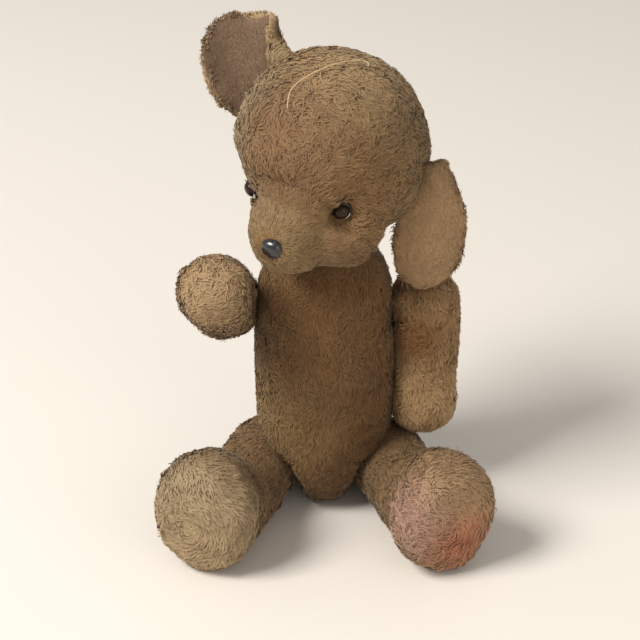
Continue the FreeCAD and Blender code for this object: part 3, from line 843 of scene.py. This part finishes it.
def arm_skin(side):
    shape = bmesh.new()
    start, along = SHOULDERS[side], arm_along(side)
    outer = Vector((SIDES[side], 0, 0))
    elbow = start + along * ELBOW_AT * MM + outer * 2 * MM
    paw = start + along * PAW_AT * MM + outer * PAW_OUT[side]
    add_limb(shape, start - outer * 1 * MM, elbow, 1.06 * ARM_RADIUS, 0.96 * ARM_RADIUS)
    add_limb(shape, elbow, paw, 0.96 * ARM_RADIUS, 0.98 * ARM_RADIUS)
    add_limb(shape, start - outer * 8 * MM, start, 0.85 * ARM_RADIUS, ARM_RADIUS)
    skin = knit("arm_%s_cover" % side, shape, smooth=12)
    wall = (TORSO_RADIUS + 0.2 * MM) * SIDES[side]

    def press(points, _normals):
        points = points.copy()
        inner = (points[:, 0] - wall) * SIDES[side] < 0
        points[inner, 0] = wall + 0.15 * (points[inner, 0] - wall)
        return points
    sculpt(skin, press)
    rumple(skin, 24 * MM, 0.9 * MM, 51 + SIDES[side])
    cover_stuffing(skin, "arm_%s_stuffing" % side)
    return skin


class PLUSH_OT_arms(bpy.types.Operator):
    """Arms: one raised, one hanging, each with its pile combed to the paw"""
    bl_idname = "plush.arms"
    bl_label = "Arms"

    def execute(self, context):
        for side, sign in SIDES.items():
            start, along = SHOULDERS[side], arm_along(side)
            tip = start + along * 105 * MM
            if side == "left":
                # On this arm the pale patch over the paw end is painted light where the paw turns towards the
                # light, and the dark patch high on the upper arm is painted shade where the arm turns away
                # from it.
                upper_arm_shade = start + Vector((-0.010, -0.022, -0.017))
                patches = [(tip + Vector((0.0, -0.015, 0.0)), 0.03, 0.085, (0.47, 0.30, 0.15), 0.9),
                           (upper_arm_shade, 0.008, 0.034, (0.21, 0.095, 0.032), 1.0)]
            else:
                patches = [(tip, 0.01, 0.06, (0.36, 0.245, 0.135), 0.9)]
            skin = arm_skin(side)
            body = "arm_" + side
            stuffed(skin, body, [body + "_outer", body + "_inner"], patches=patches)
            faded = pile_material(body + "_pile", (0.32, 0.185, 0.086), (0.58, 0.39, 0.21), patches)
            lay_pile(body + "_pile", skin, one_way(along), body, faded, seed=61 + sign, rows=1.05)
        return {"FINISHED"}


# ---- Legs ----
KNEE_AT = 45                         # mm from the hip, along the leg
ANKLE_AT = 82
FOOT_HEIGHT = 50 * MM


def leg_skin(side):
    shape = bmesh.new()
    hip, ahead = HIPS[side], leg_ahead(side)
    outer = Vector((-ahead.y, ahead.x, 0)) * SIDES[side]
    turn = Matrix((outer, ahead.cross(outer), ahead)).transposed().to_4x4()
    length = (middle("leg_%s_sole" % side) - hip).dot(ahead) + 11 * MM
    knee = hip + ahead * KNEE_AT * MM
    add_limb(shape, hip, knee, 30.5 * MM, 31 * MM)
    add_limb(shape, knee, hip + ahead * ANKLE_AT * MM + UP * 4 * MM + outer * 2 * MM, 31 * MM, 34 * MM)
    foot = hip + ahead * (length - 24 * MM) + outer * 3.5 * MM
    foot.z = FOOT_HEIGHT
    add_ball(shape, foot, (40 * MM, 50 * MM, 33 * MM), turn)
    add_ball(shape, foot + UP * 10 * MM + ahead * 3 * MM, (37 * MM, 38 * MM, 28 * MM), turn)
    skin = knit("leg_%s_cover" % side, shape, smooth=12)

    def flatten(points, _normals):
        over = (points - np.array(hip + ahead * length)) @ np.array(ahead)
        return points - np.array(ahead) * (np.clip(over + 4 * MM, 0, None) * 0.55)[:, None]
    sculpt(skin, flatten)
    rumple(skin, 28 * MM, 1.0 * MM, 71 + SIDES[side])
    cover_stuffing(skin, "leg_%s_stuffing" % side)
    flatten_under(skin, 0.8 * MM)
    return skin, foot


class PLUSH_OT_legs(bpy.types.Operator):
    """Legs: thighs, feet and their soles with the pile swirled over them"""
    bl_idname = "plush.legs"
    bl_label = "Legs"

    def execute(self, context):
        for side, sign in SIDES.items():
            skin, foot = leg_skin(side)
            hip, ahead = HIPS[side], leg_ahead(side)
            front = foot + ahead * 26 * MM
            if side == "left":
                patches = [(front, 0.03, 0.075, (0.40, 0.26, 0.145), 0.8),
                           (front + Vector((-0.038, 0.0, 0.004)), 0.012, 0.05, (0.40, 0.24, 0.18), 1.0),
                           (front + Vector((0.012, -0.01, -0.02)), 0.006, 0.048, (0.46, 0.155, 0.085), 0.95)]
            else:
                patches = [(front, 0.035, 0.08, (0.375, 0.28, 0.17), 0.9),
                           (front + Vector((0, 0, -0.03)), 0.01, 0.06, (0.42, 0.30, 0.165), 0.6)]
            body = "leg_" + side
            stuffed(skin, body, [body + "_" + part for part in ("outer", "inner", "sole")],
                    patches=patches)

            def lie(points, hip=np.array(hip), ahead=np.array(ahead), foot=np.array(foot)):
                past = np.clip(((points - hip) @ ahead - 95 * MM) / (20 * MM), 0, 1)[:, None]
                spin = np.cross(points - foot, ahead)
                return (1 - past) * ahead + past * (unit(spin) + 0.7 * np.array([0, 0, -1.0]))

            def bare(points):
                return np.where(points[:, 2] < 2.5 * MM, 0.1, 1.0)
            lay_pile(body + "_pile", skin, lie, body,
                     pile_material(body + "_pile", patches=patches), bare, 81 + sign, rows=0.92)
        return {"FINISHED"}


# ---- Ears ----
EAR_SPANS = 20
EAR_ROWS = 28
EAR_THICKNESS = 6 * MM
LEAF_POWER = 2.4                     # 2 is a round tip, more is squarer
LEFT_EAR_WIDEST = 0.60
RIGHT_EAR_WIDEST = 0.42
RIGHT_EAR_LENGTH = 79 * MM
RIGHT_EAR_HALF_WIDTH = 38 * MM
RIGHT_EAR_CUP = 13 * MM
FOLD_WAY = Vector((0.94, 0.34))      # across the crease, in the ear's own plane
FOLD_AT = 32 * MM
FOLD_BENDS_AT = 36 * MM              # height above the root where the crease curves outwards
FOLD_BEND = 90 * MM
FOLD_RADIUS = 3.8 * MM
FOLD_TURN = 0.94 * math.pi


def ear_flap(shaped, name):
    """A soft flap: a grid laid out along the ear, shaped, thickened and rounded, and its middle layer."""
    shape = bmesh.new()
    bmesh.ops.create_grid(shape, x_segments=EAR_SPANS, y_segments=EAR_ROWS, size=1.0)
    for vert in shape.verts:
        vert.co = shaped(vert.co.x, (vert.co.y + 1) / 2)
    bmesh.ops.recalc_face_normals(shape, faces=shape.faces)
    layer = BVHTree.FromBMesh(shape)
    flap = from_bmesh(name, shape)
    wall = flap.modifiers.new("Plies", "SOLIDIFY")
    wall.thickness = EAR_THICKNESS
    wall.offset = 0
    resurface(flap, 1.8 * MM, 5)
    return flap, layer


def on_lining(points, layer, lining_way):
    """Which points lie on the lining's side of the flap's middle layer, away from its rim."""
    answer = []
    for point in map(Vector, points):
        near, normal, _face, gap = layer.find_nearest(point)
        answer.append((point - near).dot(normal) * lining_way > 0.7 * gap and gap > 1.0 * MM)
    return np.array(answer, dtype=float)


def leaf_width(along, widest, root):
    """Half-width of the ear pattern, as a share, at a share of its length."""
    if along > widest:
        return max(0.0, 1 - ((along - widest) / (1.001 - widest)) ** LEAF_POWER) ** (1 / LEAF_POWER)
    return root + (1 - root) * math.sin(math.pi / 2 * along / widest)


def left_ear_point(across, along):
    """The hanging ear: falls beside the cheek, its free edge bowed out."""
    low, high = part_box("ear_left_lining")
    root = joint_place("ear_left_flop")[0]
    half = 0.41 * (high.x - low.x)
    length = root.z - low.z + 6 * MM
    bow = 3.5 * MM * math.sin(math.pi * along) * (0.5 + 0.5 * across)
    x = root.x - 3 * MM + half * leaf_width(along, LEFT_EAR_WIDEST, 0.28) * across + bow - 5 * MM * along
    y = root.y - 3 * MM - 5 * MM * math.sin(math.pi * along) + 7 * MM * across ** 2
    return Vector((x, y, root.z + 3 * MM - length * along))


def right_ear_frame():
    root, hinge = joint_place("ear_right_flop")
    low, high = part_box("ear_right_lining")
    top = Vector((low.x + 0.42 * (high.x - low.x), high.y, high.z))
    up = (top - root).normalized()
    across = (hinge - up * hinge.dot(up)).normalized()
    face = across.cross(up).normalized()
    return root, across, up, face if face.y < 0 else -face


def right_ear_point(across, along):
    """The raised ear: cupped, turned forwards, its outer corner folded over towards the face."""
    root, side, up, face = right_ear_frame()
    a = RIGHT_EAR_HALF_WIDTH * leaf_width(along, RIGHT_EAR_WIDEST, 0.45) * across * (1.1 + 0.12 * across)
    b = (RIGHT_EAR_LENGTH - 4 * MM * across) * along - 6 * MM
    lift = 0.0
    past = Vector((a, b)).dot(FOLD_WAY) - FOLD_AT - max(0.0, b - FOLD_BENDS_AT) ** 2 / FOLD_BEND
    if past > 0:
        turn = min(past / FOLD_RADIUS, FOLD_TURN)
        rest = past - turn * FOLD_RADIUS
        shift = FOLD_RADIUS * math.sin(turn) + rest * math.cos(turn) - past
        a, b = a + FOLD_WAY.x * shift, b + FOLD_WAY.y * shift
        lift = FOLD_RADIUS * (1 - math.cos(turn)) + rest * math.sin(turn)
    cup = RIGHT_EAR_CUP * (a / RIGHT_EAR_HALF_WIDTH) ** 2 - 4 * MM
    return root + side * a + up * b + face * (cup + lift)


class PLUSH_OT_ears(bpy.types.Operator):
    """Ears: one hanging flap and one raised, cupped flap, lined with short pile"""
    bl_idname = "plush.ears"
    bl_label = "Ears"

    def execute(self, context):
        looks = {
            "left": (left_ear_point, tuple(colours().lining), (0.48, 0.33, 0.185), (0.27, 0.16, 0.078)),
            # The raised right ear's lining is darker than the hanging ear's: painted shade on the lining,
            # which lies in shadow.
            "right": (right_ear_point, (0.20, 0.125, 0.078), (0.46, 0.34, 0.22), (0.40, 0.275, 0.15)),
        }
        for side, (shaped, lining, lining_tips, plush) in looks.items():
            flap, layer = ear_flap(shaped, "ear_%s_cover" % side)
            body = "ear_" + side
            stuffed(flap, body, [body + "_lining", body + "_plush"], lining)
            lie = one_way((shaped(0, 0.7) - shaped(0, 0.05)).normalized())
            normal = layer.find_nearest(shaped(0, 0.5))[1]
            lining_way = -1 if normal.y > 0 else 1

            def inside(points, layer=layer, lining_way=lining_way):
                return on_lining(points, layer, lining_way)

            def outside(points, inside=inside):
                return 1 - inside(points)
            name = body + "_lining_pile"
            lay_pile(name, flap, lie, body, pile_material(name, lining, lining_tips), inside,
                     91 + SIDES[side], length=0.6, width=0.85, rows=1.8, lift=0.5)
            name = body + "_plush_pile"
            lay_pile(name, flap, lie, body, pile_material(name, plush), outside,
                     95 + SIDES[side], length=0.75, rows=1.4, lift=0.9)
        return {"FINISHED"}


# ---- Loose thread ----
THREAD_WAYS = ((-1.0, -60.4, 53.9), (-4.6, -53.0, 60.4), (-3.8, -46.6, 66.1), (3.2, -36.1, 72.4),
               (14.0, -20.2, 77.2), (25.3, -2.0, 76.9), (33.0, 0.5, 74.5), (33.4, -5.1, 73.4))
THREAD_RADIUS = 0.35 * MM
THREAD_HEIGHT = 7.8 * MM             # above the head's surface, on top of the pile


class PLUSH_OT_thread(bpy.types.Operator):
    """A loose thread lying over the forehead"""
    bl_idname = "plush.thread"
    bl_label = "Loose thread"

    def execute(self, context):
        curve = bpy.data.curves.new("loose_thread", "CURVE")
        curve.dimensions = "3D"
        line = curve.splines.new("NURBS")
        line.points.add(len(THREAD_WAYS) - 1)
        for point, way in zip(line.points, THREAD_WAYS):
            point.co = (*(HEAD @ (Vector(way).normalized() * (HEAD_RADIUS + THREAD_HEIGHT))), 1)
        line.order_u = 3
        line.use_endpoint_u = True
        curve.bevel_depth = THREAD_RADIUS
        curve.bevel_resolution = 2
        holder = new_object("loose_thread_line", curve)
        bpy.context.view_layer.update()
        mesh = bpy.data.meshes.new_from_object(holder.evaluated_get(bpy.context.evaluated_depsgraph_get()))
        bpy.data.objects.remove(holder)
        piece = new_object("loose_thread", mesh)
        mesh.shade_smooth()
        graph = Graph("thread_cotton")
        cotton = graph.blend(graph.noise(500.0), (0.50, 0.34, 0.18), (0.62, 0.45, 0.27))
        paint(piece, graph.finish(cotton, 0.8))
        hang(piece, "head")
        return {"FINISHED"}


# ---- Inside pieces ----
class PLUSH_OT_inside(bpy.types.Operator):
    """Stuffing, card discs, pins, washers and felt, as they are on the frame"""
    bl_idname = "plush.inside"
    bl_label = "Inside pieces"

    def execute(self, context):
        card = speckled("grey_board", 400.0, 5.0, (0.30, 0.25, 0.18), (0.44, 0.38, 0.28), 0.9, 0.0002)
        felt = speckled("black_felt", 700.0, 4.0, (0.012, 0.010, 0.009), (0.05, 0.04, 0.035), 0.95, 0.0003)
        steel = self.steel()
        finishes = {"stuffing": self.wood_wool(), "disc": card, "washer": steel, "pin": steel,
                    "felt": felt}
        for name, node in frame["nodes"].items():
            for word, material in finishes.items():
                if word in name:
                    paint(node, material)
        return {"FINISHED"}

    def wood_wool(self):
        graph = Graph("wood_wool")
        strands = graph.node("ShaderNodeTexWave", {"wave_type": "BANDS"},
                             {"Vector": graph.place(), "Scale": 90.0, "Distortion": 14.0, "Detail": 3.0},
                             output="Fac")
        tint = graph.blend(strands, (0.33, 0.24, 0.12), (0.68, 0.55, 0.33))
        return graph.finish(tint, 0.85, strands, 0.0012)

    def steel(self):
        graph = Graph("plain_steel")
        drawn = graph.noise(240.0, 4.0)
        return graph.finish(graph.blend(graph.steps(drawn, 0.5, 0.8), (0.56, 0.56, 0.55), (0.25, 0.15, 0.09)),
                            0.3 + 0.3 * drawn, drawn, 0.0001, Metallic=1.0)


# ---- Stage ----
CAMERA_RISE = 30.0
CAMERA_DISTANCE = 1.3
CAMERA_TARGET = (-0.0038, 0.0, 0.160)
CAMERA_LENS = 91.4
SENSOR_WIDTH = 36.0
LIT_POINT = (0, 0, 0.2)


class PLUSH_OT_stage(bpy.types.Operator):
    """Pale floor, soft studio light and the camera"""
    bl_idname = "plush.stage"
    bl_label = "Stage"

    def execute(self, context):
        scene = context.scene
        shape = bmesh.new()
        bmesh.ops.create_grid(shape, x_segments=1, y_segments=1, size=6.0)
        floor = from_bmesh("floor", shape)
        graph = Graph("floor_paper")
        paint(floor, graph.finish((0.72, 0.675, 0.62), 0.9))
        world = bpy.data.worlds.new("soft_room")
        scene.world = world
        world.use_nodes = True
        background = world.node_tree.nodes["Background"]
        background.inputs["Color"].default_value = (1.0, 0.985, 0.96, 1)
        background.inputs["Strength"].default_value = 0.50
        self.lamp("window", (-2.2, -1.2, 2.9), 1.5, 165.0, (1.0, 0.975, 0.93))
        self.lamp("room", (0.9, -1.3, 0.7), 1.2, 6.0, (1.0, 0.93, 0.82))
        self.camera(scene)
        scene.view_settings.view_transform = "Standard"
        return {"FINISHED"}

    def lamp(self, name, place, size, power, colour):
        light = bpy.data.lights.new(name, "AREA")
        light.size = size
        light.energy = power
        light.color = colour
        holder = new_object(name, light)
        holder.location = place
        aim = Vector(LIT_POINT) - Vector(place)
        holder.rotation_euler = aim.to_track_quat("-Z", "Y").to_euler()

    def camera(self, scene):
        lens = bpy.data.cameras.new("camera")
        lens.lens = CAMERA_LENS
        lens.sensor_width = SENSOR_WIDTH
        holder = new_object("camera", lens)
        rise = math.radians(CAMERA_RISE)
        back = Vector((0, -math.cos(rise), math.sin(rise)))
        holder.location = Vector(CAMERA_TARGET) + back * CAMERA_DISTANCE
        holder.rotation_euler = (-back).to_track_quat("-Z", "Y").to_euler()
        scene.camera = holder


class PLUSH_PT_panel(bpy.types.Panel):
    """Lists the dog's pieces"""
    bl_idname = "PLUSH_PT_panel"
    bl_label = "Plush dog"
    bl_space_type = "VIEW_3D"
    bl_region_type = "UI"
    bl_category = "Plush"

    def draw(self, context):
        for operator in OPERATORS:
            self.layout.operator(operator.bl_idname)
        for name in PileSettings.__annotations__:
            self.layout.prop(context.scene.plush_pile, name)
        for name in ColourSettings.__annotations__:
            self.layout.prop(context.scene.plush_colours, name)


OPERATORS = (PLUSH_OT_torso, PLUSH_OT_head, PLUSH_OT_face, PLUSH_OT_arms, PLUSH_OT_legs, PLUSH_OT_ears,
             PLUSH_OT_thread, PLUSH_OT_inside, PLUSH_OT_stage)
CLASSES = (PileSettings, ColourSettings, *OPERATORS, PLUSH_PT_panel)


def register():
    for cls in CLASSES:
        bpy.utils.register_class(cls)
    bpy.types.Scene.plush_pile = PointerProperty(type=PileSettings)
    bpy.types.Scene.plush_colours = PointerProperty(type=ColourSettings)


def unregister():
    del bpy.types.Scene.plush_colours
    del bpy.types.Scene.plush_pile
    for cls in reversed(CLASSES):
        bpy.utils.unregister_class(cls)


def main():
    register()
    for operator in OPERATORS:
        group, name = operator.bl_idname.split(".")
        getattr(getattr(bpy.ops, group), name)()


if __name__ == "__main__":
    main()
